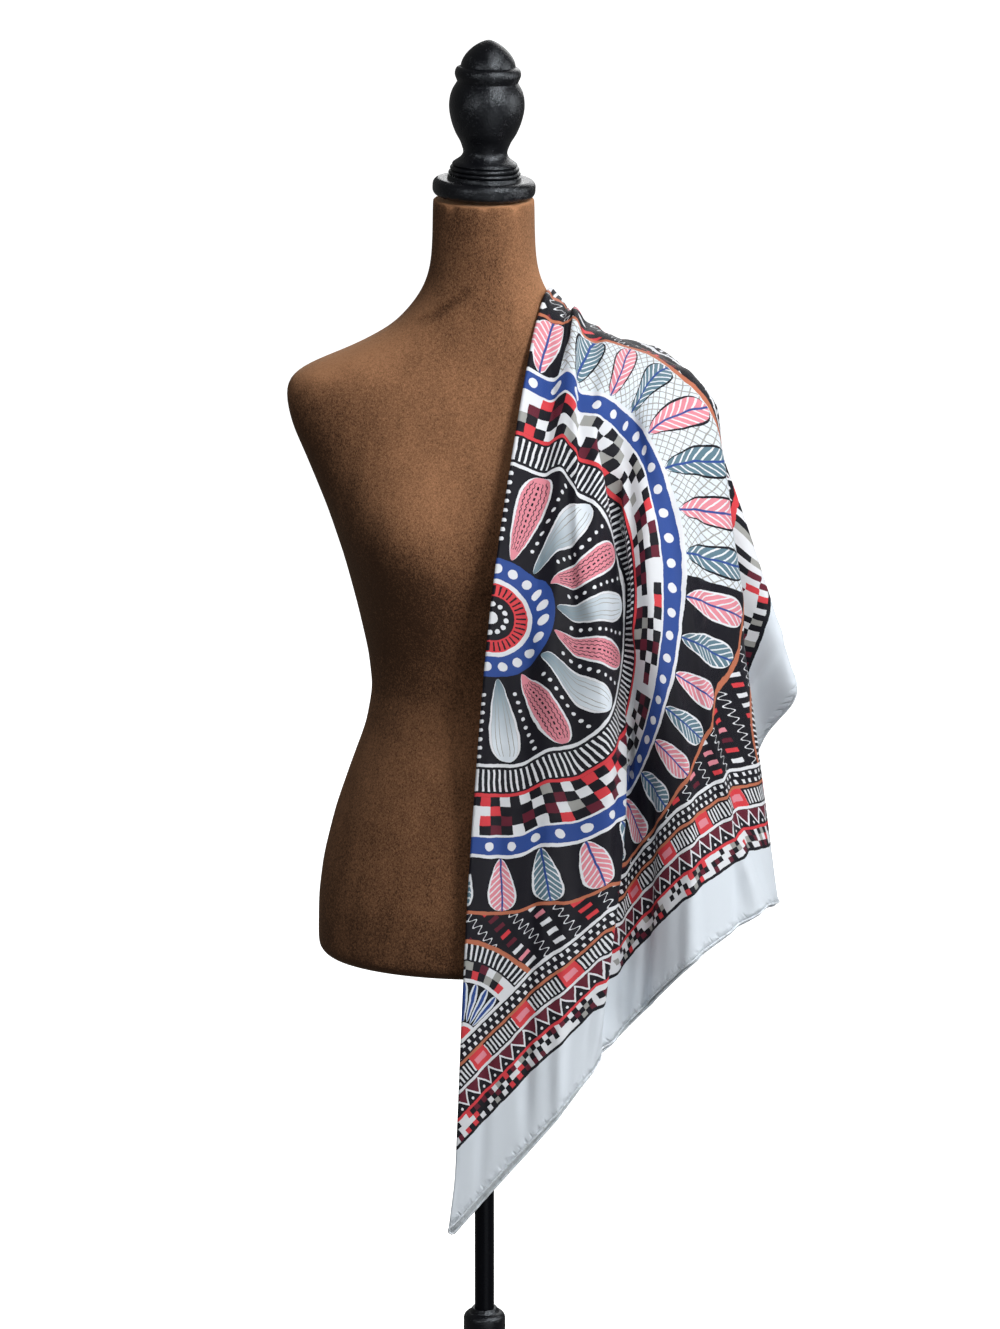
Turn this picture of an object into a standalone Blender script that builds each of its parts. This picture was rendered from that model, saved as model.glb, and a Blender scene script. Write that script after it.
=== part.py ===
"""Square silk scarf, folded on its diagonal and draped over one shoulder of a limbless dress form.

Metres, +Z up. The origin is the middle of the stand's underside, -Y is the front of the form and
+X is the shoulder that carries the scarf.
"""

import math

import bmesh
import bpy
import numpy as np
from mathutils import Matrix, Vector
from mathutils.bvhtree import BVHTree

# Gap between pieces that touch or seat on each other
SEAT_GAP = 0.0003

# Stand: a turned base, a turned column with a collar, and a thin pole into the form
BASE_RADIUS = 0.160
BASE_HEIGHT = 0.024
BASE_EDGE = 0.007
BASE_BOSS_RADIUS = 0.034
BASE_BOSS_HEIGHT = 0.042
COLUMN_RADIUS = 0.0200
COLLAR_RADIUS = 0.0215
COLUMN_TOP = 0.303
POLE_RADIUS = 0.0100
POLE_SOCKET = 0.070
POLE_TOP = 0.760

# Dress form: height of its underside and of its neck, and the rounding of its lower edge
FORM_BOTTOM = 0.687
FORM_TOP = 1.4582
FORM_EDGE = 0.015
FORM_SEGMENTS = 36

# Sections of the form: height, half of the width, depth to the front, depth to the back
FORM_SECTIONS = (
    ("hip", 0.702, 0.1688, 0.112, 0.116),
    ("hip_full", 0.750, 0.1678, 0.114, 0.122),
    ("belly", 0.790, 0.1626, 0.112, 0.124),
    ("high_hip", 0.840, 0.1501, 0.110, 0.117),
    ("below_waist", 0.890, 0.1327, 0.103, 0.105),
    ("waist_low", 0.927, 0.1190, 0.095, 0.093),
    ("waist", 0.965, 0.1121, 0.090, 0.086),
    ("waist_high", 1.002, 0.1159, 0.092, 0.088),
    ("rib", 1.051, 0.1266, 0.098, 0.095),
    ("under_bust", 1.100, 0.1392, 0.100, 0.102),
    ("bust", 1.150, 0.1557, 0.097, 0.108),
    ("chest", 1.198, 0.1751, 0.090, 0.111),
    ("armpit", 1.235, 0.1910, 0.082, 0.104),
    ("shoulder_tip", 1.265, 0.1975, 0.074, 0.096),
    ("shoulder_top", 1.283, 0.1912, 0.068, 0.089),
    ("shoulder_mid", 1.295, 0.1694, 0.064, 0.084),
    ("shoulder_in", 1.307, 0.1377, 0.061, 0.080),
    ("shoulder_neck", 1.319, 0.1130, 0.059, 0.076),
    ("neck_root", 1.331, 0.0923, 0.057, 0.073),
    ("neck_low", 1.346, 0.0765, 0.055, 0.068),
    ("neck", 1.367, 0.0607, 0.053, 0.061),
    ("neck_mid", 1.390, 0.0525, 0.0515, 0.055),
    ("neck_high", 1.417, 0.0507, 0.0505, 0.052),
    ("neck_top", 1.4582, 0.0500, 0.0500, 0.0500),
)
BUST_ACROSS = 0.086
BUST_HEIGHT = 1.128
BUST_DEPTH = 0.036
BUST_SPREAD_ACROSS = 0.042
BUST_SPREAD_UP = 0.050

# Turned cap and finial: outlines as height and radius above the neck, round stretches as curves
CAP_LEAN = math.radians(2.0)
CAP_RADIUS = 0.0505
CAP_THICKNESS = 0.0180
CAP_RIM = 0.0070
CAP_STEP_RADIUS = 0.0362
CAP_STEP_HEIGHT = 0.0030
FINIAL_RINGS = (
    ("foot", 0.0000, 0.0342),
    ("first_bead", 0.0030, 0.0350),
    ("first_groove", 0.0045, 0.0330),
    ("second_bead", 0.0070, 0.0338),
    ("second_groove", 0.0090, 0.0316),
)
FINIAL_BULB = (
    ("skirt", 0.0115, 0.0318),
    ("cove", 0.0170, 0.0268),
    ("neck", 0.0235, 0.0220),
    ("swell", 0.0320, 0.0242),
    ("low_bulb", 0.0430, 0.0304),
    ("mid_bulb", 0.0560, 0.0352),
    ("bulb", 0.0710, 0.0371),
    ("high_bulb", 0.0840, 0.0350),
    ("groove", 0.0912, 0.0300),
)
FINIAL_BAND = (
    ("band_low", 0.0940, 0.0312),
    ("band", 0.0990, 0.0324),
    ("band_high", 0.1045, 0.0308),
)
FINIAL_DOME_RADIUS = 0.0268
FINIAL_DOME_FOOT = 0.1065
FINIAL_DOME_HEIGHT = 0.0260
FINIAL_DOME_POINT = (1.7, 0.68)
TURNED_SEGMENTS = 28

# Scarf: wall, distance between the middles of its two layers, least distance of a layer's middle
# from the form, and how far the under half hangs below the outer half's front hem
WALL = 0.0010
LAYER_STEP = 0.0036
FORM_CLEAR = 0.0016
UNDER_DROP = 0.011

# Folds of the outer layer, from the folded edge by the neck round to the free side on the arm side.
# Each row is the crest or the bottom of one fold. Its columns are the points that the fold passes:
# the front hem, the hip, the bust, the ridge of the shoulder, the shoulder blade and the back hem,
# then how round the fold is, 0 for a crease, and the number of facets to the next fold.
FOLDS = (
    ("folded_edge", (-0.030, -0.125, 0.439), (-0.010, -0.133, 0.850), (0.013, -0.140, 1.115),
     (0.060, 0.000, 1.366), (0.052, 0.098, 1.260), (0.045, 0.118, 1.110), 1.0, 3),
    ("pleat_bottom", (0.028, -0.127, 0.507), (0.038, -0.128, 0.850), (0.052, -0.130, 1.120),
     (0.077, 0.000, 1.343), (0.078, 0.100, 1.245), (0.070, 0.145, 1.100), 0.7, 2),
    ("pleat_crest", (0.050, -0.129, 0.532), (0.060, -0.131, 0.850), (0.070, -0.136, 1.120),
     (0.089, 0.000, 1.353), (0.094, 0.090, 1.245), (0.092, 0.108, 1.118), 1.0, 2),
    ("pleat_foot", (0.074, -0.128, 0.559), (0.088, -0.131, 0.850), (0.088, -0.136, 1.120),
     (0.101, 0.000, 1.330), (0.110, 0.092, 1.235), (0.115, 0.138, 1.128), 0.7, 2),
    ("first_crest", (0.104, -0.120, 0.595), (0.126, -0.128, 0.860), (0.108, -0.140, 1.120),
     (0.118, 0.000, 1.325), (0.126, 0.078, 1.232), (0.132, 0.088, 1.128), 0.8, 3),
    ("first_bottom", (0.137, -0.068, 0.624), (0.143, -0.080, 0.860), (0.134, -0.098, 1.120),
     (0.140, 0.000, 1.316), (0.146, 0.080, 1.225), (0.152, 0.128, 1.130), 0.8, 4),
    ("second_crest", (0.210, -0.110, 0.715), (0.196, -0.115, 0.860), (0.160, -0.118, 1.120),
     (0.166, 0.000, 1.304), (0.170, 0.060, 1.222), (0.172, 0.072, 1.135), 0.9, 4),
    ("crease", (0.284, -0.060, 0.753), (0.252, -0.080, 0.860), (0.210, -0.092, 1.120),
     (0.200, 0.000, 1.284), (0.196, 0.050, 1.220), (0.183, 0.091, 1.145), 0.2, 3),
    ("side_crest", (0.295, 0.020, 0.737), (0.279, 0.005, 0.860), (0.241, -0.034, 1.120),
     (0.215, 0.005, 1.263), (0.213, 0.038, 1.205), (0.197, 0.064, 1.142), 0.9, 4),
    ("side_bottom", (0.208, 0.050, 0.765), (0.205, 0.040, 0.880), (0.215, 0.010, 1.080),
     (0.238, 0.028, 1.195), (0.238, 0.060, 1.168), (0.230, 0.092, 1.130), 1.0, 3),
    ("flap", (0.228, 0.112, 0.728), (0.242, 0.090, 0.835), (0.262, 0.065, 0.940),
     (0.289, 0.053, 1.040), (0.280, 0.080, 1.050), (0.262, 0.102, 1.065), 1.0, 3),
    ("free_side", (0.262, 0.128, 0.762), (0.265, 0.118, 0.820), (0.286, 0.098, 0.885),
     (0.317, 0.072, 0.944), (0.302, 0.098, 0.978), (0.284, 0.106, 1.010), 1.0, 0),
)

# Rows of facets in front of and behind the ridge and how they crowd towards it, facets round the
# folded edge, and how close an inner layer's points may come, as a share of the outer layer's
FRONT_ROWS = 21
BACK_ROWS = 8
ROW_CROWDING = 1.35
EDGE_TURN_STEPS = 4
LEAST_SHARE = 0.5

# Colours as linear RGB, roughness and metallic value
VELVET = ((0.150, 0.066, 0.020), 0.90, 0.0)
BLACK_WOOD = ((0.012, 0.012, 0.013), 0.38, 0.0)
BLACK_STEEL = ((0.010, 0.010, 0.011), 0.32, 0.9)
SILK = ((0.200, 0.210, 0.260), 0.45, 0.0)
SILK_REVERSE = ((0.280, 0.290, 0.330), 0.50, 0.0)


def clear_scene():
    for old in list(bpy.data.objects):
        bpy.data.objects.remove(old, do_unlink=True)


def finish(name):
    """A Principled material from one of the finishes above."""
    colour, roughness, metallic = FINISHES[name]
    material = bpy.data.materials.new(name)
    material.use_nodes = True
    shader = material.node_tree.nodes["Principled BSDF"]
    shader.inputs["Base Color"].default_value = (*colour, 1.0)
    shader.inputs["Roughness"].default_value = roughness
    shader.inputs["Metallic"].default_value = metallic
    return material


FINISHES = {
    "velvet": VELVET,
    "black_wood": BLACK_WOOD,
    "black_steel": BLACK_STEEL,
    "silk": SILK,
    "silk_reverse": SILK_REVERSE,
}


def place(name, bm, material, sharp_angle=40.0):
    """Turns a bmesh into a named object with one finish, smooth but for its sharp edges."""
    mesh = bpy.data.meshes.new(name)
    bm.to_mesh(mesh)
    bm.free()
    mesh.shade_smooth()
    mesh.set_sharp_from_angle(angle=math.radians(sharp_angle))
    mesh.materials.append(finish(material))
    piece = bpy.data.objects.new(name, mesh)
    bpy.context.scene.collection.objects.link(piece)
    return piece


def bend(guides, steps, round_start=1.0, round_end=1.0):
    """Points after the second of four guides and up to the third, on a rounded curve through all."""
    a, b, c, d = guides
    ab, bc, cd = (max(np.linalg.norm(q - p), 1e-6) for p, q in ((a, b), (b, c), (c, d)))
    leave = ((b - a) / ab - (c - a) / (ab + bc) + (c - b) / bc) * bc
    arrive = ((c - b) / bc - (d - b) / (bc + cd) + (d - c) / cd) * bc
    leave = leave * round_start + (c - b) * (1.0 - round_start)
    arrive = arrive * round_end + (c - b) * (1.0 - round_end)
    points = []
    for t in np.linspace(0.0, 1.0, steps + 1)[1:]:
        points.append((2 * t**3 - 3 * t**2 + 1) * b + (t**3 - 2 * t**2 + t) * leave
                      + (3 * t**2 - 2 * t**3) * c + (t**3 - t**2) * arrive)
    return points


def with_ends(points):
    """The points with one more before the first and after the last, to guide a curve."""
    return np.vstack([2 * points[0] - points[1], points, 2 * points[-1] - points[-2]])


def smooth_curve(points, shares):
    """A smooth curve through the points, read at shares of its length from 0 to 1."""
    guides = with_ends(np.asarray(points, dtype=float))
    dense = [guides[1]]
    for index in range(len(points) - 1):
        dense.extend(bend(guides[index:index + 4], 16))
    dense = np.array(dense)
    lengths = np.concatenate([[0.0], np.cumsum(np.linalg.norm(np.diff(dense, axis=0), axis=1))])
    wanted = np.asarray(shares) * lengths[-1]
    return np.stack([np.interp(wanted, lengths, dense[:, k]) for k in range(dense.shape[1])], axis=1)


def arc(centre, radius, start, end, steps):
    """Points (radius, height) on a round stretch of a turned outline, angles in degrees."""
    angles = [math.radians(start + (end - start) * k / steps) for k in range(steps + 1)]
    return [(centre[0] + radius * math.cos(a), centre[1] + radius * math.sin(a)) for a in angles]


def turned(outline, segments=TURNED_SEGMENTS):
    """Spins an outline of (radius, height), axis to axis, bottom first, into a closed solid."""
    bm = bmesh.new()
    verts = [bm.verts.new((radius, 0.0, height)) for radius, height in outline]
    edges = [bm.edges.new(pair) for pair in zip(verts, verts[1:])]
    bmesh.ops.spin(bm, geom=verts + edges, cent=(0, 0, 0), axis=(0, 0, 1), angle=2 * math.pi,
                   steps=segments, use_merge=True)
    bmesh.ops.remove_doubles(bm, verts=bm.verts, dist=1e-6)
    bmesh.ops.dissolve_degenerate(bm, edges=bm.edges, dist=1e-6)
    bmesh.ops.recalc_face_normals(bm, faces=bm.faces)
    return bm


def base_disc():
    """Round turned base with a flat underside, a soft edge and a low boss round the column."""
    edge_centre = BASE_RADIUS - BASE_EDGE
    outline = [(0.0, 0.0), (BASE_RADIUS - 0.002, 0.0), (BASE_RADIUS, 0.002)]
    outline += arc((edge_centre, BASE_HEIGHT - BASE_EDGE - 0.004), BASE_EDGE, 0, 80, 4)
    outline += [(BASE_BOSS_RADIUS + 0.020, BASE_HEIGHT), (BASE_BOSS_RADIUS + 0.006, BASE_HEIGHT + 0.004)]
    outline += [(BASE_BOSS_RADIUS, BASE_BOSS_HEIGHT - 0.006)]
    outline += [(BASE_BOSS_RADIUS - 0.004, BASE_BOSS_HEIGHT), (0.0, BASE_BOSS_HEIGHT)]
    return place("base_disc", turned(outline, 36), "black_wood")


def column():
    """Turned column: a plain shaft under a rounded collar that grips the pole."""
    foot = BASE_BOSS_HEIGHT + SEAT_GAP
    socket = POLE_RADIUS + SEAT_GAP
    outline = [(0.0, foot), (COLUMN_RADIUS + 0.006, foot), (COLUMN_RADIUS + 0.006, foot + 0.006)]
    outline += [(COLUMN_RADIUS, foot + 0.014), (COLUMN_RADIUS, COLUMN_TOP - 0.050)]
    outline += [(COLLAR_RADIUS + 0.001, COLUMN_TOP - 0.046), (COLLAR_RADIUS + 0.001, COLUMN_TOP - 0.040)]
    outline += [(COLUMN_RADIUS - 0.001, COLUMN_TOP - 0.036), (COLLAR_RADIUS, COLUMN_TOP - 0.028)]
    outline += [(COLLAR_RADIUS, COLUMN_TOP - 0.012)]
    outline += arc((COLLAR_RADIUS - 0.008, COLUMN_TOP - 0.012), 0.008, 15, 75, 3)
    outline += [(0.0125, COLUMN_TOP), (socket, COLUMN_TOP)]
    outline += [(socket, COLUMN_TOP - POLE_SOCKET), (0.0, COLUMN_TOP - POLE_SOCKET)]
    return place("column", turned(outline), "black_wood")


def pole():
    """Thin steel pole from the column's socket up into the form."""
    foot = COLUMN_TOP - POLE_SOCKET + SEAT_GAP
    outline = [(0.0, foot), (POLE_RADIUS, foot), (POLE_RADIUS, POLE_TOP), (0.0, POLE_TOP)]
    return place("pole", turned(outline, 20), "black_steel")


def form_ring(height):
    """Half width, front depth and back depth of the form at a height, read smoothly."""
    heights = [row[1] for row in FORM_SECTIONS]
    sizes = [[row[k] for row in FORM_SECTIONS] for k in (2, 3, 4)]
    return [float(np.interp(height, heights, size)) for size in sizes]


def form_point(angle, height, shrink=0.0):
    """A point on the form's skin, angle 0 at the draped side and 90 degrees at the front."""
    width, front, back = form_ring(height)
    x = (width - shrink) * math.cos(angle)
    if math.sin(angle) >= 0.0:
        across = (abs(x) - BUST_ACROSS) / BUST_SPREAD_ACROSS
        up = (height - BUST_HEIGHT) / BUST_SPREAD_UP
        swell = BUST_DEPTH * math.exp(-0.5 * (across**2 + up**2)) * math.sqrt(math.sin(angle))
        return (x, -(front - shrink) * math.sin(angle) - swell, height)
    return (x, -(back - shrink) * math.sin(angle), height)


def form_body():
    """Limbless torso as one loft of rings, with a rounded lower edge and a socket for the pole."""
    angles = [2 * math.pi * k / FORM_SEGMENTS for k in range(FORM_SEGMENTS)]
    rings = []
    socket_top = POLE_TOP + SEAT_GAP
    socket = POLE_RADIUS + SEAT_GAP
    for height in (socket_top, FORM_BOTTOM):
        rings.append([(socket * math.cos(a), -socket * math.sin(a), height) for a in angles])
    for step in range(4):
        turn = math.radians(30 * step)
        inset = FORM_EDGE * (1 - math.sin(turn))
        lift = FORM_EDGE * (1 - math.cos(turn))
        rings.append([(*form_point(a, FORM_BOTTOM + FORM_EDGE, inset)[:2], FORM_BOTTOM + lift)
                      for a in angles])
    heights = [row[1] for row in FORM_SECTIONS[1:]]
    for low, high in zip([FORM_SECTIONS[0][1]] + heights, heights):
        parts = 2 if high - low > 0.035 else 1
        rings += [[form_point(a, low + (high - low) * (k + 1) / parts) for a in angles]
                  for k in range(parts)]
    bm = bmesh.new()
    loops = [[bm.verts.new(point) for point in ring] for ring in rings]
    for lower, upper in zip(loops, loops[1:]):
        for k in range(FORM_SEGMENTS):
            nxt = (k + 1) % FORM_SEGMENTS
            bm.faces.new((lower[k], lower[nxt], upper[nxt], upper[k]))
    bm.faces.new(loops[0])
    bm.faces.new(loops[-1])
    bmesh.ops.recalc_face_normals(bm, faces=bm.faces)
    return place("form_body", bm, "velvet")


def lean(bm, pivot):
    """Tips a turned piece of the top to the draped side about the neck's edge."""
    turn = Matrix.Rotation(CAP_LEAN, 3, "Y")
    bmesh.ops.rotate(bm, cent=pivot, matrix=turn, verts=bm.verts)
    return bm


def neck_cap():
    """Round wooden disc with a rolled rim that closes the neck, tipped a little to one side."""
    foot = FORM_TOP + SEAT_GAP
    rim = (CAP_RADIUS - CAP_RIM, foot + CAP_RIM)
    top = foot + CAP_THICKNESS
    outline = [(0.0, foot), (rim[0], foot)] + arc(rim, CAP_RIM, -60, 0, 3)
    outline += arc((rim[0], top - CAP_RIM), CAP_RIM, 0, 70, 3)
    outline += [(CAP_STEP_RADIUS, top - 0.001), (CAP_STEP_RADIUS, top + CAP_STEP_HEIGHT)]
    outline += [(0.0, top + CAP_STEP_HEIGHT)]
    return place("neck_cap", lean(turned(outline), CAP_PIVOT), "black_wood")


def finial():
    """Turned urn on the cap: ring grooves, a bulb, a band and a dome."""
    foot = FORM_TOP + SEAT_GAP + CAP_THICKNESS + CAP_STEP_HEIGHT + SEAT_GAP
    outline = [(0.0, 0.0)] + [(radius, height) for _, height, radius in FINIAL_RINGS]
    bulb = [(radius, height) for _, height, radius in FINIAL_BULB]
    outline += [tuple(p) for p in smooth_curve(bulb, np.linspace(0, 1, 11))]
    band = [(radius, height) for _, height, radius in FINIAL_BAND]
    outline += [tuple(p) for p in smooth_curve(band, np.linspace(0, 1, 5))]
    for step in range(6):
        rise = math.sin(math.radians(18 * step))
        fullness = max(1.0 - rise ** FINIAL_DOME_POINT[0], 0.0) ** FINIAL_DOME_POINT[1]
        outline.append((FINIAL_DOME_RADIUS * fullness, FINIAL_DOME_FOOT + FINIAL_DOME_HEIGHT * rise))
    outline[-1] = (0.0, FINIAL_DOME_FOOT + FINIAL_DOME_HEIGHT)
    bm = turned([(radius, foot + height) for radius, height in outline])
    return place("finial", lean(bm, CAP_PIVOT), "black_wood")


CAP_PIVOT = (form_ring(FORM_TOP)[0], 0.0, FORM_TOP + SEAT_GAP)


def drape_grid(form_tree):
    """Middle surface of the outer layer, columns from the folded edge, rows from the front hem."""
    front = 1.0 - np.linspace(1.0, 0.0, FRONT_ROWS + 1) ** ROW_CROWDING
    back = np.linspace(0.0, 1.0, BACK_ROWS + 1)[1:] ** ROW_CROWDING
    ribs = []
    for _, hem, hip, bust, ridge, blade, tail, _, _ in FOLDS:
        path = smooth_curve([hem, hip, bust, ridge, blade, tail], np.linspace(0, 1, 401))
        top = int(np.argmin(np.linalg.norm(path - np.array(ridge), axis=1)))
        ribs.append(np.vstack([smooth_curve(path[:top + 1:4], front), smooth_curve(path[top::4], back)]))
    grid = []
    for level, keys in enumerate(np.array(ribs).transpose(1, 0, 2)):
        guides = with_ends(keys)
        roundness = [fold[-2] if level <= FRONT_ROWS else 1.0 for fold in FOLDS]
        row = [keys[0]]
        for index, fold in enumerate(FOLDS[:-1]):
            row.extend(bend(guides[index:index + 4], fold[-1], roundness[index], roundness[index + 1]))
        grid.append(row)
    return np.array(grid).transpose(1, 0, 2)


def lift_off(grid, form_tree, clear, passes=4):
    """Moves the points that are too near the form, then the facets that still are, out of it."""
    lifted = grid.copy()
    shares = np.linspace(0.0, 1.0, 5)
    for _ in range(passes):
        for place_in_grid in np.ndindex(lifted.shape[:2]):
            lifted[place_in_grid] += lift(lifted[place_in_grid], form_tree, clear)
    for _ in range(passes):
        for i, j in np.ndindex(lifted.shape[0] - 1, lifted.shape[1] - 1):
            cell = lifted[i:i + 2, j:j + 2]
            steps = [lift(blend(cell, u, v), form_tree, clear) for u in shares for v in shares]
            cell += max(steps, key=np.linalg.norm)
    return lifted


def blend(cell, u, v):
    """A point on a facet, from its four corners."""
    return (1 - u) * ((1 - v) * cell[0, 0] + v * cell[0, 1]) + u * ((1 - v) * cell[1, 0] + v * cell[1, 1])


def lift(point, form_tree, clear):
    """The step that brings a point out to the clearance from the form."""
    skin, normal, _, distance = form_tree.find_nearest(Vector(point))
    if (Vector(point) - skin).dot(normal) < 0.0:
        distance = -distance
    return np.array(normal) * max(clear - distance, 0.0)


def unit(vectors):
    """The vectors at length 1."""
    return vectors / np.linalg.norm(vectors, axis=-1, keepdims=True)


def outward(grid):
    """Unit normals of the middle surface, on the side away from the form."""
    return unit(np.cross(np.gradient(grid, axis=0), np.gradient(grid, axis=1)))


def soften(normals):
    """The normals averaged with their neighbours, so that an inner layer rounds the tight folds."""
    for axis in (0, 1, 0, 1):
        pad = [(1, 1) if k == axis else (0, 0) for k in range(3)]
        wide = np.pad(normals, pad, mode="edge")
        low, high = (np.take(wide, range(k, k + normals.shape[axis]), axis=axis) for k in (0, 2))
        normals = unit(low + 2.0 * normals + high)
    return normals


def relax(inner, outer, passes=8):
    """Evens out an inner layer where a tight fold would crowd its points together."""
    for _ in range(passes):
        for axis in (0, 1):
            inner, outer = inner.swapaxes(0, axis), outer.swapaxes(0, axis)
            near, far = np.diff(inner, axis=0), np.diff(outer, axis=0)
            crowded = np.sum(near * far, axis=2) < LEAST_SHARE * np.sum(far * far, axis=2)
            moving = crowded[:-1] | crowded[1:]
            middle = (inner[:-2] + 2.0 * inner[1:-1] + inner[2:]) / 4.0
            inner[1:-1] = np.where(moving[..., None], middle, inner[1:-1])
            inner, outer = inner.swapaxes(0, axis), outer.swapaxes(0, axis)
    return inner


def sheet(name, grid, material):
    """Gives a grid of points its wall."""
    columns, rows = grid.shape[:2]
    bm = bmesh.new()
    verts = [[bm.verts.new(grid[i, j]) for j in range(rows)] for i in range(columns)]
    for i in range(columns - 1):
        for j in range(rows - 1):
            bm.faces.new((verts[i][j], verts[i][j + 1], verts[i + 1][j + 1], verts[i + 1][j]))
    piece = place(name, bm, material, 180.0)
    wall = piece.modifiers.new("wall", "SOLIDIFY")
    wall.thickness = WALL
    wall.offset = 0.0
    wall.use_rim = True
    return piece


def scarf(form_tree):
    """The two halves of the folded square, the outer one with the turn of the folded edge."""
    draped = drape_grid(form_tree)
    outer = lift_off(draped, form_tree, FORM_CLEAR + LAYER_STEP)
    normals = outward(outer)
    under = relax(outer - soften(normals) * LAYER_STEP, outer)
    under = lift_off(under, form_tree, FORM_CLEAR)
    inward = under[0] - outer[0]
    away = outer[0] - outer[1]
    away -= inward * (np.sum(away * inward, axis=1) / np.sum(inward * inward, axis=1))[:, None]
    away *= (np.linalg.norm(inward, axis=1) / np.linalg.norm(away, axis=1) / 2)[:, None]
    turns = [math.pi * step / EDGE_TURN_STEPS for step in range(EDGE_TURN_STEPS, 0, -1)]
    turn = [outer[0] + away * math.sin(a) + inward * (1 - math.cos(a)) / 2 for a in turns]
    sheet("scarf_outer_half", np.concatenate([np.array(turn), outer], axis=0), "silk")
    under[0] -= unit(away) * (SEAT_GAP + WALL / 2)
    drop = UNDER_DROP * np.linspace(1.0, 0.0, len(under))[:, None] ** 1.5
    under[:, 0] += unit(under[:, 0] - under[:, 1]) * drop
    sheet("scarf_under_half", under, "silk_reverse")


def main():
    clear_scene()
    base_disc()
    column()
    pole()
    form = form_body()
    neck_cap()
    finial()
    form_tree = BVHTree.FromPolygons([v.co for v in form.data.vertices],
                                     [tuple(p.vertices) for p in form.data.polygons])
    scarf(form_tree)


main()
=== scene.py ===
"""Printed silk square, folded on its diagonal and draped over one shoulder of a dress form.

Every surface that shows is finished here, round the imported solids. Metres, +Z up, -Y the front.
"""

import math
from functools import partialmethod

import bmesh
import bpy
import numpy as np
from mathutils import Matrix, Vector
from mathutils.bvhtree import BVHTree


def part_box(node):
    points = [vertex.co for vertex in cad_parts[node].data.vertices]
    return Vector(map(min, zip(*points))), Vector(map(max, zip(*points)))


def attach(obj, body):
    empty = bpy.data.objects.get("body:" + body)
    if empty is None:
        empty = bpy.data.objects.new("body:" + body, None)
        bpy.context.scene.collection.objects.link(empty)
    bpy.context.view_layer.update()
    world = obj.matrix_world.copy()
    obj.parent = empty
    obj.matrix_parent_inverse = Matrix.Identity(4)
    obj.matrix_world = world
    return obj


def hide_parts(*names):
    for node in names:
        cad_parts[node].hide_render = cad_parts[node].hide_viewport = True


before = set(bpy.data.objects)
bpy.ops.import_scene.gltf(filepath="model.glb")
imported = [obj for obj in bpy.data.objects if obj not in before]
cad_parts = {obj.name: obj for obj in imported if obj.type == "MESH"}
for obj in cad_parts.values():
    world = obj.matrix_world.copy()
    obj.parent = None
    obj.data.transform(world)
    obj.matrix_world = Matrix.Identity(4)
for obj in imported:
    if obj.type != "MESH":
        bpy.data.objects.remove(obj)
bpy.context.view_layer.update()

# Round base of the stand. A wooden disc turned in one piece with a low boss round the column's foot,
# painted black by hand. The paint has a soft orange peel and is rubbed thin in patches.
BASE_EDGE = 0.007
BASE_CHAMFER = 0.002
BOSS_RADIUS = 0.034
BOSS_SLOPE = 0.020
BOSS_HEIGHT = 0.018
BOSS_FOOT = (0.006, 0.004)
BOSS_LIP = 0.005
BASE_DISH = 0.004
PAINT_BLACK = (0.0022, 0.0023, 0.0034)
PAINT_RUBBED = (0.034, 0.034, 0.038)


class Reading:
    """A number that changes over a surface. Sums and comparisons of readings become Math nodes."""

    def __init__(self, tree, socket):
        self.tree = tree
        self.socket = socket

    def work(self, operation, *others):
        math_node = self.tree.nodes.new("ShaderNodeMath")
        math_node.operation = operation
        for port, value in zip(math_node.inputs, (self, *others)):
            if isinstance(value, Reading):
                self.tree.links.new(value.socket, port)
            else:
                port.default_value = value
        return Reading(self.tree, math_node.outputs[0])

    def __rsub__(self, other):
        return self.work("MULTIPLY_ADD", -1.0, other)

    def __invert__(self):
        return 1.0 - self

    def between(self, low, high):
        return (self > low) & (self < high)


for method, operation in (
    ("__add__", "ADD"), ("__radd__", "ADD"), ("__sub__", "SUBTRACT"), ("__mul__", "MULTIPLY"),
    ("__rmul__", "MULTIPLY"), ("__truediv__", "DIVIDE"), ("__pow__", "POWER"), ("__lt__", "LESS_THAN"),
    ("__gt__", "GREATER_THAN"), ("__and__", "MINIMUM"), ("__or__", "MAXIMUM"), ("__abs__", "ABSOLUTE"),
    ("floor", "FLOOR"), ("fract", "FRACT"), ("sine", "SINE"), ("arc_tangent_to", "ARCTAN2"),
):
    setattr(Reading, method, partialmethod(Reading.work, operation))


def add(tree, kind, links=None, **settings):
    """A node with its settings, its sockets linked or set by name."""
    new = tree.nodes.new(kind)
    for name, value in settings.items():
        setattr(new, name, value)
    for name, value in (links or {}).items():
        port = new.inputs[name]
        value = value.socket if isinstance(value, Reading) else value
        if isinstance(value, bpy.types.NodeSocket):
            tree.links.new(value, port)
        else:
            port.default_value = value
    return new


def separate(tree, vector):
    """The three numbers of a vector, as sockets."""
    return add(tree, "ShaderNodeSeparateXYZ", {"Vector": vector}).outputs


def noise(tree, vector, scale, detail=2.0, roughness=0.5):
    """Soft noise from 0 to 1 on a coordinate."""
    links = {"Vector": vector, "Scale": scale, "Detail": detail, "Roughness": roughness}
    return Reading(tree, add(tree, "ShaderNodeTexNoise", links).outputs["Fac"])


def mix(tree, under, over, share):
    """One colour over another, by a mask."""
    colour = add(tree, "ShaderNodeMix", data_type="RGBA")
    for port, value in zip((colour.inputs[0], colour.inputs[6], colour.inputs[7]), (share, under, over)):
        if isinstance(value, Reading):
            tree.links.new(value.socket, port)
        elif isinstance(value, bpy.types.NodeSocket):
            tree.links.new(value, port)
        else:
            port.default_value = value if isinstance(value, float) else (*value, 1.0)
    return colour.outputs[2]


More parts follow.
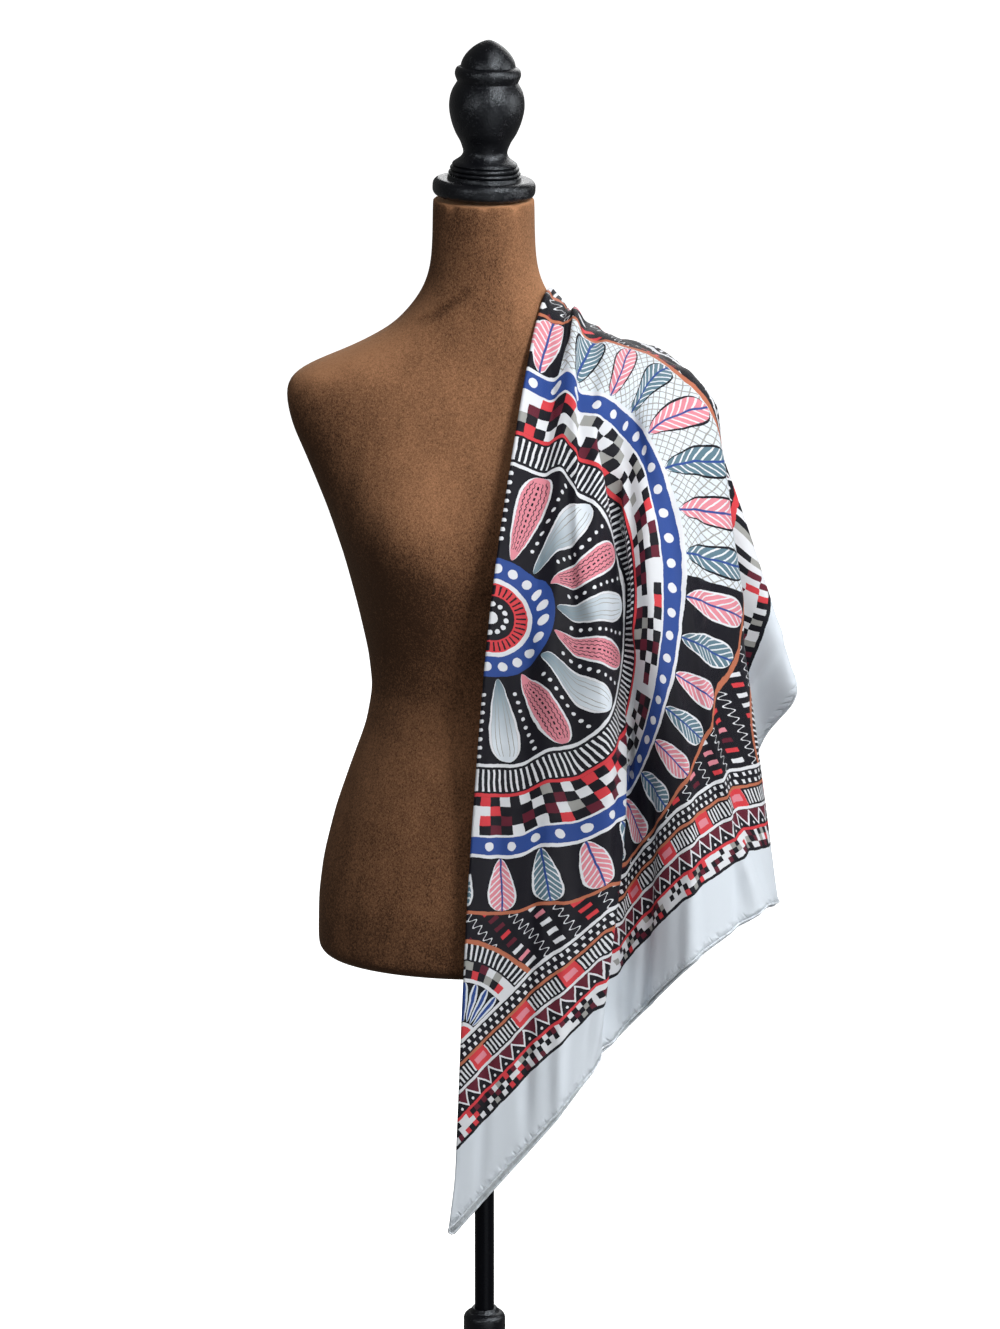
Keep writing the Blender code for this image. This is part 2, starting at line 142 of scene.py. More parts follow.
def effect(name, inputs, outputs):
    """An empty node group with named sockets, for an effect that more than one material uses."""
    tree = bpy.data.node_groups.new(name, "ShaderNodeTree")
    for socket, kind in inputs.items():
        tree.interface.new_socket(socket, in_out="INPUT", socket_type=kind)
    for socket, kind in outputs.items():
        tree.interface.new_socket(socket, in_out="OUTPUT", socket_type=kind)
    given = tree.nodes.new("NodeGroupInput")
    result = tree.nodes.new("NodeGroupOutput")
    return tree, given, result


def surface(name, **values):
    """A material and its Principled shader, with the shader's plain values set on their sockets."""
    material = bpy.data.materials.new(name)
    material.use_nodes = True
    shader = material.node_tree.nodes["Principled BSDF"]
    for socket, value in values.items():
        shader.inputs[socket.replace("_", " ")].default_value = value
    return material, material.node_tree, shader


def raise_surface(tree, shader, height, distance, strength=1.0):
    """Lets a height roughen the shader's normal."""
    bump = add(tree, "ShaderNodeBump", {"Height": height, "Distance": distance, "Strength": strength})
    tree.links.new(bump.outputs["Normal"], shader.inputs["Normal"])


PAINT_COAT, given, result = effect(
    "hand_painted_coat",
    {"Vector": "NodeSocketVector", "Rubbing": "NodeSocketFloat"},
    {"Rubbed": "NodeSocketFloat", "Dulling": "NodeSocketFloat", "Height": "NodeSocketFloat"},
)
peel = noise(PAINT_COAT, given.outputs["Vector"], 560.0, 2.0, 0.6)
brush = noise(PAINT_COAT, given.outputs["Vector"], 150.0, 4.0, 0.65)
patches = noise(PAINT_COAT, given.outputs["Vector"], 34.0, 3.0, 0.6)
rubbed = (brush * 0.6 + patches * 0.4 - 0.56) * 9.0 & 1.0 | 0.0
rubbed = rubbed * Reading(PAINT_COAT, given.outputs["Rubbing"])
PAINT_COAT.links.new(rubbed.socket, result.inputs["Rubbed"])
PAINT_COAT.links.new((brush * 0.5 + patches * 0.5).socket, result.inputs["Dulling"])
PAINT_COAT.links.new((peel * 0.65 + brush * 0.35).socket, result.inputs["Height"])


def painted(name, rubbing, gloss, distance, shine):
    """Black paint by hand: nearly black, rubbed a little grey, glossy where it lies smooth."""
    material, tree, shader = surface(name, Specular_IOR_Level=shine, Specular_Tint=(0.86, 0.93, 1.0, 1.0))
    place = add(tree, "ShaderNodeTexCoord").outputs["Object"]
    coat = add(tree, "ShaderNodeGroup", node_tree=PAINT_COAT)
    tree.links.new(place, coat.inputs["Vector"])
    coat.inputs["Rubbing"].default_value = rubbing
    rubbed = Reading(tree, coat.outputs["Rubbed"])
    dulling = Reading(tree, coat.outputs["Dulling"])
    tree.links.new(mix(tree, PAINT_BLACK, PAINT_RUBBED, rubbed), shader.inputs["Base Color"])
    tree.links.new((dulling * 0.34 + rubbed * 0.16 + gloss).socket, shader.inputs["Roughness"])
    raise_surface(tree, shader, coat.outputs["Height"], distance)
    return material


def placed(name, data):
    """An object that shows some data in the scene."""
    thing = bpy.data.objects.new(name, data)
    bpy.context.scene.collection.objects.link(thing)
    return thing


def arc(centre, radius, start, end, steps):
    """Points (radius, height) on a round stretch of a turned outline, angles in degrees."""
    angles = [math.radians(start + (end - start) * k / steps) for k in range(steps + 1)]
    return [(centre[0] + radius * math.cos(a), centre[1] + radius * math.sin(a)) for a in angles]


def turned(name, outline, material, segments=112, lean=None):
    """Spins an outline from axis to axis, bottom first, and puts it in the place of its solid."""
    bm = bmesh.new()
    verts = [bm.verts.new((radius, 0.0, height)) for radius, height in outline]
    edges = [bm.edges.new(pair) for pair in zip(verts, verts[1:])]
    bmesh.ops.spin(bm, geom=verts + edges, cent=(0, 0, 0), axis=(0, 0, 1), angle=2 * math.pi,
                   steps=segments, use_merge=True)
    bmesh.ops.remove_doubles(bm, verts=bm.verts, dist=1e-6)
    bmesh.ops.recalc_face_normals(bm, faces=bm.faces)
    if lean:
        bmesh.ops.rotate(bm, cent=lean[0], matrix=Matrix.Rotation(lean[1], 3, "Y"), verts=bm.verts)
    piece = into_scene(name + "_turned", bm, material)
    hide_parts(name)


def into_scene(name, bm, material, sharp_angle=34.0):
    """A bmesh as a piece that rides with the part's one body."""
    mesh = bpy.data.meshes.new(name)
    bm.to_mesh(mesh)
    bm.free()
    mesh.shade_smooth()
    mesh.set_sharp_from_angle(angle=math.radians(sharp_angle))
    mesh.materials.append(material)
    piece = placed(name, mesh)
    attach(piece, "root")
    return piece


black_wood = painted("black_painted_wood", rubbing=0.50, gloss=0.06, distance=0.0010, shine=0.46)
low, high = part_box("base_disc")
base_radius = high.x
disc_height = high.z - BOSS_HEIGHT
outline = [(0.0, 0.0), (base_radius - BASE_CHAMFER, 0.0), (base_radius, BASE_CHAMFER)]
outline += arc((base_radius - BASE_EDGE, disc_height - BASE_EDGE - BASE_DISH), BASE_EDGE, 0, 80, 10)
outline += [(BOSS_RADIUS + BOSS_SLOPE, disc_height)]
outline += [(BOSS_RADIUS + BOSS_FOOT[0], disc_height + BOSS_FOOT[1])]
outline += arc((BOSS_RADIUS - BOSS_LIP, high.z - BOSS_LIP), BOSS_LIP, 0, 90, 6)
outline += [(0.0, high.z)]
turned("base_disc", outline, black_wood)

# Column of the stand. A turned wooden shaft with a foot ring and, at its top, the rounded collar
# that grips the steel pole, painted like the base. The collar's upper bead catches the light.
FOOT_RING = 0.006
SOCKET_DEPTH = 0.069
COLLAR_BEAD = 0.008
COLLAR = (
    # ring, how far it stands out from the shaft, how far it is below the top
    ("shaft_end", 0.0, 0.050),
    ("lip", 0.0025, 0.046),
    ("lip_top", 0.0025, 0.040),
    ("groove", -0.001, 0.036),
    ("collar_foot", 0.0015, 0.029),
    ("collar", 0.0015, 0.012),
)
low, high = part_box("column")
shaft = high.x - FOOT_RING
top = high.z
pole_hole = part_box("pole")[1].x + 0.0003
outline = [(0.0, low.z), (shaft + FOOT_RING, low.z)]
outline += arc((shaft + FOOT_RING - 0.003, low.z + 0.003), 0.003, 0, 80, 5)
outline += [(shaft + 0.001, low.z + 0.010), (shaft, low.z + 0.016)]
outline += [(shaft + out, top - down) for _, out, down in COLLAR]
outline += arc((outline[-1][0] - COLLAR_BEAD, outline[-1][1]), COLLAR_BEAD, 8, 76, 7)
outline += [(0.0125, top), (pole_hole, top), (pole_hole, top - SOCKET_DEPTH), (0.0, top - SOCKET_DEPTH)]
turned("column", outline, black_wood)

# Pole of the stand. A drawn steel tube between the column's socket and the form's own socket,
# black enamelled, with a small chamfer at each end.
black_steel = painted("black_enamelled_steel", rubbing=0.10, gloss=0.12, distance=0.00010, shine=0.12)
POLE_CHAMFER = 0.0008
low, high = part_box("pole")
inner = high.x - POLE_CHAMFER
outline = [(0.0, low.z), (inner, low.z), (high.x, low.z + POLE_CHAMFER)]
outline += [(high.x, high.z - POLE_CHAMFER), (inner, high.z), (0.0, high.z)]
turned("pole", outline, black_steel, segments=64)

# Dress form. A padded torso with no limbs, in one tight cover of short brown velvet. Its pile lies in soft
# strokes.
# Its colour also holds painted light and shade: golden where the surface faces up and to the right, dark
# where it faces down and to the left, and darker in the tuck by the neck.
# The two ends of the velvet's colour: darker and lighter pile, and also painted shade and painted light
PILE_DARK = (0.046, 0.0200, 0.0098)
PILE_LIT = (0.375, 0.183, 0.092)
# Line of the tuck by the neck: its upper and lower ends and its half width. A painted shade darkens the
# velvet along it.
NECK_TUCK = ((-0.012, 1.379), (-0.069, 1.338), 0.0062)
velvet, tree, shader = surface(
    "brown_velvet", Roughness=0.92, Specular_IOR_Level=0.10, Sheen_Weight=0.16, Sheen_Roughness=0.42,
    Sheen_Tint=(0.95, 0.70, 0.48, 1.0),
)
place = add(tree, "ShaderNodeTexCoord").outputs["Object"]
along_pile = add(tree, "ShaderNodeMapping", {"Vector": place, "Scale": (1.0, 1.0, 0.45)}).outputs[0]
strokes = noise(tree, along_pile, 26.0, 5.0, 0.68)
clumps = noise(tree, place, 430.0, 3.0, 0.7)
fibres = noise(tree, along_pile, 1300.0, 2.0, 0.6)
normal = add(tree, "ShaderNodeTexCoord").outputs["Normal"]
rightward, _, upward = (Reading(tree, port) for port in separate(tree, normal))
away_x, away_y, away_z = (Reading(tree, port) for port in separate(tree, place))
(high_x, high_z), (low_x, low_z), tuck_width = NECK_TUCK
run_x, run_z = low_x - high_x, low_z - high_z
run = math.hypot(run_x, run_z)
share = ((away_x - high_x) * run_x + (away_z - high_z) * run_z) * (1 / run**2) & 1.0 | 0.0
off = ((away_x - high_x) * run_z - (away_z - high_z) * run_x) * (1 / run) + share * (1.0 - share) * 0.012
# The tuck by the neck: a dip in the bump, and a painted shade in the velvet's colour
tuck_crease_and_shade = (1.0 - off * off * (1 / tuck_width**2) | 0.0) * (share * (1.0 - share) * 4.0) ** 0.6 * (away_y < 0.0)
pile_and_painted_light = (strokes - 0.5) * 0.6 + (clumps - 0.5) * 1.05 + (fibres - 0.5) * 1.3
# Painted light: lighter where the surface faces up and to the right. Painted shade: darker in the tuck's
# crease.
pile_and_painted_light = pile_and_painted_light + upward * 0.82 + rightward * 0.22 + 0.31 - tuck_crease_and_shade * 0.26
pile_and_painted_light = pile_and_painted_light & 1.0 | 0.0
tree.links.new(mix(tree, PILE_DARK, PILE_LIT, pile_and_painted_light), shader.inputs["Base Color"])
raise_surface(tree, shader, (clumps * 0.6 + fibres * 0.4 - tuck_crease_and_shade * 1.3).socket, 0.0011, 0.75)

form_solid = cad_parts["form_body"]
bm = bmesh.new()
bm.from_mesh(form_solid.data)
bmesh.ops.remove_doubles(bm, verts=bm.verts, dist=1e-5)
bmesh.ops.join_triangles(bm, faces=bm.faces, angle_face_threshold=math.radians(12),
                         angle_shape_threshold=math.radians(40))
form = into_scene("velvet_form", bm, velvet, sharp_angle=180.0)
rounding = form.modifiers.new("rounding", "SUBSURF")
rounding.levels = 2
rounding.render_levels = 2
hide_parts("form_body")

# Cap of the neck. A turned wooden disc with a rolled rim and a low step, pressed on the open neck and
# tipped a little to the draped side, painted like the stand.
CAP_LEAN = math.radians(2.0)
CAP_RADIUS = 0.0505
CAP_RIM = 0.0070
CAP_THICKNESS = 0.0180
CAP_STEP_RADIUS = 0.0362
CAP_STEP = 0.0030
CAP_STEP_EDGE = 0.0012
NECK_RADIUS = 0.0500
SEAT_GAP = 0.0003
neck_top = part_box("form_body")[1].z
tipped = (Vector((NECK_RADIUS, 0.0, neck_top + SEAT_GAP)), CAP_LEAN)
foot = neck_top + SEAT_GAP
cap_top = foot + CAP_THICKNESS
outline = [(0.0, foot)] + arc((CAP_RADIUS - CAP_RIM, foot + CAP_RIM), CAP_RIM, -76, 0, 10)
outline += arc((CAP_RADIUS - CAP_RIM, cap_top - CAP_RIM), CAP_RIM, 0, 74, 10)
outline += [(CAP_STEP_RADIUS + 0.0004, cap_top - 0.001), (CAP_STEP_RADIUS, cap_top - 0.0004)]
edge_centre = (CAP_STEP_RADIUS - CAP_STEP_EDGE, cap_top + CAP_STEP - CAP_STEP_EDGE)
outline += arc(edge_centre, CAP_STEP_EDGE, 0, 90, 4)
outline += [(0.0, cap_top + CAP_STEP)]
turned("neck_cap", outline, black_wood, lean=tipped)

# Finial on the cap. A turned wooden urn: two beads with grooves, a cove, a full bulb, a deep groove,
# a round band and an egg-shaped dome, glued on the cap and painted like it.
FINIAL_BEADS = (
    ("foot", 0.0000, 0.0344),
    ("first_bead_low", 0.0008, 0.0352),
    ("first_bead", 0.0022, 0.0355),
    ("first_bead_high", 0.0036, 0.0348),
    ("first_groove", 0.0046, 0.0326),
    ("second_bead_low", 0.0054, 0.0338),
    ("second_bead", 0.0068, 0.0341),
    ("second_bead_high", 0.0082, 0.0334),
    ("second_groove", 0.0092, 0.0312),
    ("third_bead", 0.0104, 0.0322),
)
FINIAL_URN = (
    ("shoulder", 0.0118, 0.0315),
    ("skirt", 0.0138, 0.0290),
    ("cove", 0.0168, 0.0247),
    ("neck", 0.0208, 0.0219),
    ("swell", 0.0300, 0.0238),
    ("low_bulb", 0.0420, 0.0303),
    ("mid_bulb", 0.0550, 0.0350),
    ("bulb", 0.0690, 0.0370),
    ("high_bulb", 0.0830, 0.0344),
    ("groove", 0.0912, 0.0298),
)
FINIAL_BAND = (
    ("band_low", 0.0928, 0.0304),
    ("band", 0.0990, 0.0324),
    ("band_high", 0.1050, 0.0304),
    ("band_groove", 0.1064, 0.0274),
)
DOME_RADIUS = 0.0268
DOME_FOOT = 0.1068
DOME_HEIGHT = 0.0258
DOME_POINT = (1.7, 0.68)


def with_ends(points):
    """The points with one more before the first and after the last, to guide a curve."""
    points = np.asarray(points, dtype=float)
    return np.concatenate([[2 * points[0] - points[1]], points, [2 * points[-1] - points[-2]]])


def bend(guides, steps, round_start=1.0, round_end=1.0):
    """Points after the second of four guides and up to the third, on a rounded curve through all."""
    a, b, c, d = guides
    ab, bc, cd = (np.maximum(np.linalg.norm((q - p)[..., :3], axis=-1, keepdims=True), 1e-6)
                  for p, q in ((a, b), (b, c), (c, d)))
    leave = ((b - a) / ab - (c - a) / (ab + bc) + (c - b) / bc) * bc
    arrive = ((c - b) / bc - (d - b) / (bc + cd) + (d - c) / cd) * bc
    leave = leave * round_start + (c - b) * (1.0 - round_start)
    arrive = arrive * round_end + (c - b) * (1.0 - round_end)
    points = []
    for t in np.linspace(0.0, 1.0, steps + 1)[1:]:
        points.append((2 * t**3 - 3 * t**2 + 1) * b + (t**3 - 2 * t**2 + t) * leave
                      + (3 * t**2 - 2 * t**3) * c + (t**3 - t**2) * arrive)
    return points


def lengths_along(points):
    """The distance of each point of a line from its start, along the line."""
    steps = np.linalg.norm(np.diff(points[:, :3], axis=0), axis=1)
    return np.concatenate([[0.0], np.cumsum(steps)])


def smooth_curve(points, shares):
    """A smooth curve through the points, read at shares of its length from 0 to 1."""
    guides = with_ends(points)
    dense = [guides[1]]
    for index in range(len(points) - 1):
        dense.extend(bend(guides[index:index + 4], 16))
    dense = np.array(dense)
    lengths = lengths_along(dense)
    wanted = np.asarray(shares) * lengths[-1]
    return np.stack([np.interp(wanted, lengths, dense[:, k]) for k in range(dense.shape[1])], axis=1)


foot = cap_top + CAP_STEP + SEAT_GAP
outline = [(0.0, 0.0)] + [(radius, height) for _, height, radius in FINIAL_BEADS]
for profile, steps in ((FINIAL_URN, 40), (FINIAL_BAND, 14)):
    curve = smooth_curve([(radius, height) for _, height, radius in profile], np.linspace(0, 1, steps))
    outline += [tuple(point) for point in curve]
for step in range(21):
    rise = math.sin(math.radians(90 * step / 20))
    fullness = max(1.0 - rise ** DOME_POINT[0], 0.0) ** DOME_POINT[1]
    outline.append((DOME_RADIUS * fullness, DOME_FOOT + DOME_HEIGHT * rise))
outline[-1] = (0.0, DOME_FOOT + DOME_HEIGHT)
outline = [(radius, foot + height) for radius, height in outline]
turned("finial", outline, black_wood, lean=tipped)

# Scarf. A 0.9 m square of printed silk twill, folded on its diagonal, right side out, and laid over one
# shoulder: the fold runs down by the neck, and two corners hang at the side. It is one thin shell.
SIDE = 0.900
BACK_HEM_SHOWN = 0.620
LAYER_STEP = 0.0036
FORM_CLEAR = 0.0016
UNDER_DROP = 0.011
CLOTH = 0.0005
FRONT_ROWS = 21
BACK_ROWS = 8
ROW_CROWDING = 1.35
LEAST_SHARE = 0.5
MILLIMETRE = 0.001

# Folds of the outer layer, from the folded edge by the neck round to the free side on the arm side.
# Columns: the points that the fold passes, which are the front hem, the hip, the bust, the ridge of the
# shoulder, the shoulder blade and the back hem; how round it is; the facets to the next fold; and where
# its ridge point lies on the flat cut, along the diagonal and across it. Lengths are in millimetres.
FOLDS = (
    ("folded_edge", (-30, -125, 439), (-10, -133, 850), (13, -140, 1115),
     (60, 0, 1366), (52, 98, 1260), (45, 118, 1110), 1.0, 3, (980, 0)),
    ("pleat_bottom", (28, -127, 507), (38, -128, 850), (52, -130, 1120),
     (77, 0, 1343), (78, 100, 1245), (70, 145, 1100), 0.7, 2, (972, 21)),
    ("pleat_crest", (50, -129, 532), (60, -131, 850), (70, -136, 1120),
     (89, 0, 1353), (94, 90, 1245), (92, 108, 1118), 1.0, 2, (967, 33)),
    ("pleat_foot", (74, -128, 559), (88, -131, 850), (88, -136, 1120),
     (101, 0, 1330), (110, 92, 1235), (115, 138, 1128), 0.7, 2, (960, 52)),
    ("first_crest", (104, -120, 595), (126, -128, 860), (108, -140, 1120),
     (118, 0, 1325), (126, 78, 1232), (132, 88, 1128), 0.8, 3, (955, 65)),
    ("first_bottom", (137, -68, 624), (143, -80, 860), (134, -98, 1120),
     (140, 0, 1316), (146, 80, 1225), (152, 128, 1130), 0.8, 4, (940, 100)),
    ("second_crest", (210, -110, 715), (196, -115, 860), (160, -118, 1120),
     (166, 0, 1304), (170, 60, 1222), (172, 72, 1135), 0.9, 4, (925, 130)),
    ("crease", (284, -60, 753), (252, -80, 860), (210, -92, 1120),
     (200, 0, 1284), (196, 50, 1220), (183, 91, 1145), 0.2, 3, (905, 170)),
    ("side_crest", (295, 20, 737), (279, 5, 860), (241, -34, 1120),
     (215, 5, 1263), (213, 38, 1205), (197, 64, 1142), 0.9, 4, (890, 190)),
    ("side_bottom", (208, 50, 765), (205, 40, 880), (215, 10, 1080),
     (238, 28, 1195), (238, 60, 1168), (230, 92, 1130), 1.0, 3, (870, 270)),
    ("flap", (228, 112, 728), (242, 90, 835), (262, 65, 940),
     (289, 53, 1040), (280, 80, 1050), (262, 102, 1065), 1.0, 3, (825, 370)),
    ("free_side", (262, 128, 762), (265, 118, 820), (286, 98, 885),
     (317, 72, 944), (302, 98, 978), (284, 106, 1010), 1.0, 0, (775, 498)),
)
FRONT_HEM, RIDGE, BACK_HEM, ROUNDNESS, FACETS, RIDGE_CUT = 1, 4, 6, 7, 8, 9


def across_folds(keys, roundness):
    """A row of the cloth through one point of each fold, which may hold many rows at once."""
    guides = with_ends(keys)
    row = [keys[0]]
    for index, fold in enumerate(FOLDS[:-1]):
        row.extend(bend(guides[index:index + 4], fold[FACETS], roundness[index], roundness[index + 1]))
    return np.array(row)


def shares_of_hem(column):
    """How far along a hem each fold meets it, from 0 at the folded edge to 1 at the free side."""
    keys = np.array([fold[column] for fold in FOLDS]) * MILLIMETRE
    lengths = lengths_along(across_folds(keys, [fold[ROUNDNESS] for fold in FOLDS]))
    return lengths[np.cumsum([0] + [fold[FACETS] for fold in FOLDS[:-1]])] / lengths[-1]


def on_front_hem(distance):
    """Where a point of the front hem lies on the flat cut, by its distance from the front corner."""
    return np.array([distance, distance]) / math.sqrt(2)


def on_back_hem(distance):
    """Where a point of the back hem lies on the flat cut, by its distance from the back corner."""
    return np.array([SIDE * math.sqrt(2) - distance / math.sqrt(2), distance / math.sqrt(2)])


def drape_grid():
    """Points (x, y, z, along the diagonal, across it) of the outer layer, folded edge first."""
    front = 1.0 - np.linspace(1.0, 0.0, FRONT_ROWS + 1) ** ROW_CROWDING
    back = np.linspace(0.0, 1.0, BACK_ROWS + 1)[1:] ** ROW_CROWDING
    ribs = []
    for fold, front_share, back_share in zip(FOLDS, shares_of_hem(FRONT_HEM), shares_of_hem(BACK_HEM)):
        ridge, ridge_cut = (np.array(fold[column]) * MILLIMETRE for column in (RIDGE, RIDGE_CUT))
        path = smooth_curve(np.array(fold[FRONT_HEM:BACK_HEM + 1]) * MILLIMETRE, np.linspace(0, 1, 401))
        top = int(np.argmin(np.linalg.norm(path - ridge, axis=1)))
        hem_cut, tail_cut = on_front_hem(front_share * SIDE), on_back_hem(back_share * BACK_HEM_SHOWN)
        rib = []
        for stretch, shares, start, end in ((path[:top + 1:4], front, hem_cut, ridge_cut),
                                            (path[top::4], back, ridge_cut, tail_cut)):
            cut = start + (end - start) * shares[:, None]
            rib.append(np.hstack([smooth_curve(stretch, shares), cut]))
        ribs.append(np.vstack(rib))
    grid = across_folds(np.array(ribs), [fold[ROUNDNESS] for fold in FOLDS])
    behind = across_folds(np.array(ribs), [1.0] * len(FOLDS))
    return np.concatenate([grid[:, :FRONT_ROWS + 1], behind[:, FRONT_ROWS + 1:]], axis=1)


def lift(point, clear):
    """The step that brings a point out to the clearance from the form."""
    skin, normal, _, distance = form_tree.find_nearest(Vector(point))
    if (Vector(point) - skin).dot(normal) < 0.0:
        distance = -distance
    return np.array(normal) * max(clear - distance, 0.0)


def blend(cell, u, v):
    """A point on a facet, from its four corners."""
    return (1 - u) * ((1 - v) * cell[0, 0] + v * cell[0, 1]) + u * ((1 - v) * cell[1, 0] + v * cell[1, 1])


def lift_points(grid, clear, passes):
    """Moves the points that are too near the form out of it."""
    for _ in range(passes):
        for index in np.ndindex(grid.shape[:2]):
            grid[index][:3] += lift(grid[index][:3], clear)


def lift_off(grid, clear, passes=4):
    """Moves the points that are too near the form, then the facets that still are, out of it."""
    lifted = grid.copy()
    lift_points(lifted, clear, passes)
    shares = np.linspace(0.0, 1.0, 5)
    for _ in range(passes):
        for i, j in np.ndindex(lifted.shape[0] - 1, lifted.shape[1] - 1):
            cell = lifted[i:i + 2, j:j + 2, :3]
            steps = [lift(blend(cell, u, v), clear) for u in shares for v in shares]
            cell += max(steps, key=np.linalg.norm)
    return lifted


def unit(vectors):
    """The vectors at length 1."""
    return vectors / np.linalg.norm(vectors, axis=-1, keepdims=True)


def outward(points):
    """Unit normals of the surface, on the side away from the form."""
    return unit(np.cross(np.gradient(points, axis=0), np.gradient(points, axis=1)))


def soften(normals):
    """The normals averaged with their neighbours, so that an inner layer rounds the tight folds."""
    for axis in (0, 1, 0, 1):
        pad = [(1, 1) if k == axis else (0, 0) for k in range(3)]
        wide = np.pad(normals, pad, mode="edge")
        low, high = (np.take(wide, range(k, k + normals.shape[axis]), axis=axis) for k in (0, 2))
        normals = unit(low + 2.0 * normals + high)
    return normals


def relax(inner, outer, passes=8):
    """Evens out an inner layer where a tight fold would crowd its points together."""
    for _ in range(passes):
        for axis in (0, 1):
            inner, outer = inner.swapaxes(0, axis), outer.swapaxes(0, axis)
            near, far = np.diff(inner, axis=0), np.diff(outer, axis=0)
            crowded = np.sum(near * far, axis=2) < LEAST_SHARE * np.sum(far * far, axis=2)
            moving = crowded[:-1] | crowded[1:]
            middle = (inner[:-2] + 2.0 * inner[1:-1] + inner[2:]) / 4.0
            inner[1:-1] = np.where(moving[..., None], middle, inner[1:-1])
            inner, outer = inner.swapaxes(0, axis), outer.swapaxes(0, axis)
    return inner


def refine(grid, across, along):
    """A finer grid on the smooth surface through a coarse one."""
    for parts in (across, along):
        guides = with_ends(grid)
        rows = [grid[0]]
        for index in range(len(grid) - 1):
            rows.extend(bend(guides[index:index + 4], parts))
        grid = np.array(rows).swapaxes(0, 1)
    return grid


form_tree = BVHTree.FromPolygons([v.co for v in form_solid.data.vertices],
                                 [tuple(p.vertices) for p in form_solid.data.polygons])
outer = lift_off(drape_grid(), FORM_CLEAR + LAYER_STEP)
under = outer.copy()
under[..., :3] = relax(outer[..., :3] - soften(outward(outer[..., :3])) * LAYER_STEP, outer[..., :3])
under = lift_off(under, FORM_CLEAR)
under[..., 4] *= -1.0
drop = UNDER_DROP * np.linspace(1.0, 0.0, len(under))[:, None] ** 1.5
under[:, 0, :3] += unit(under[:, 0, :3] - under[:, 1, :3]) * drop

# Creases and soft pulls in both layers, which mirror each other across the fold. Columns: where each
# starts and ends on the flat cut, along the diagonal and across it; how far it bows aside; half its width
# and how far it stands out, or in, at the start and at the end. All are in millimetres.
CREASES = (
    ("neck_valley", (1000, 3), (835, 34), 4, (5.0, 7.0), (-4.0, -3.0)),
    ("neck_roll", (1000, 36), (800, 60), 4, (6.0, 8.5), (2.2, 4.8)),
    ("ridge_roll", (1030, 33), (895, 37), 0, (8.0, 8.0), (-4.2, -3.0)),
    ("roll_shade", (960, 62), (845, 76), 2, (7.0, 8.0), (-3.0, -3.5)),
    ("bust_ridge", (845, 56), (620, 108), 7, (8.0, 12.0), (6.8, 4.4)),
    ("bust_hollow", (850, 78), (640, 172), -4, (9.5, 15.0), (-14.0, -7.5)),
    ("hollow_bank", (805, 120), (600, 200), 4, (8.5, 12.0), (6.4, 4.2)),
    ("chest_pull", (880, 110), (740, 215), 6, (9.0, 12.0), (-4.4, -3.4)),
    ("arm_edge", (850, 182), (330, 404), 4, (6.0, 10.0), (4.2, 5.0)),
    ("arm_shade", (840, 210), (350, 420), 4, (8.0, 12.0), (-3.8, -5.5)),
    ("hip_edge", (140, 172), (600, 158), -16, (8.5, 7.0), (7.6, 4.8)),
    ("hip_shade", (140, 200), (580, 180), -14, (10.0, 8.0), (-10.0, -5.8)),
    ("side_roll", (240, 318), (640, 238), 8, (13.0, 10.0), (6.2, 3.6)),
    ("side_shade", (190, 252), (520, 214), 4, (11.0, 9.0), (-5.2, -3.4)),
    ("corner_shade", (330, 368), (520, 340), 0, (10.0, 8.0), (-4.2, -2.4)),
    ("low_pull", (70, 88), (470, 66), -4, (12.0, 10.0), (-4.4, -3.0)),
    ("low_roll", (100, 128), (400, 98), -3, (10.0, 11.0), (4.4, 3.0)),
    ("corner_pull", (10, 30), (230, 26), 2, (8.0, 10.0), (-1.8, -2.4)),
    ("fold_pull", (600, 18), (330, 34), 3, (10.0, 12.0), (-2.2, -2.6)),
    ("bust_pull", (700, 30), (520, 78), 6, (11.0, 13.0), (3.6, 3.2)),
    ("shoulder_pull", (940, 148), (780, 262), 4, (10.0, 13.0), (3.0, 2.0)),
    ("sleeve_pull", (915, 190), (760, 330), -6, (9.0, 12.0), (-3.4, -2.8)),
    ("arm_round", (930, 185), (680, 330), 4, (30.0, 34.0), (7.0, 8.0)),
    ("flap_fold", (560, 470), (800, 330), 8, (13.0, 11.0), (-5.0, -3.0)),
    ("flap_roll", (620, 530), (830, 392), 6, (13.0, 10.0), (4.2, 2.6)),
    ("nape_valley", (975, 16), (1200, 24), 4, (7.0, 10.0), (-3.6, -4.2)),
    ("blade_roll", (960, 58), (1230, 60), 8, (8.0, 11.0), (4.5, 5.2)),
    ("blade_shade", (955, 92), (1160, 112), -4, (9.0, 12.0), (-5.0, -6.0)),
    ("back_roll", (930, 150), (1090, 182), 6, (10.0, 12.0), (4.0, 4.4)),
    ("back_shade", (925, 196), (1020, 236), 3, (9.0, 12.0), (-4.0, -4.6)),
    ("back_arm_roll", (880, 252), (960, 312), 2, (11.0, 13.0), (3.4, 3.0)),
)


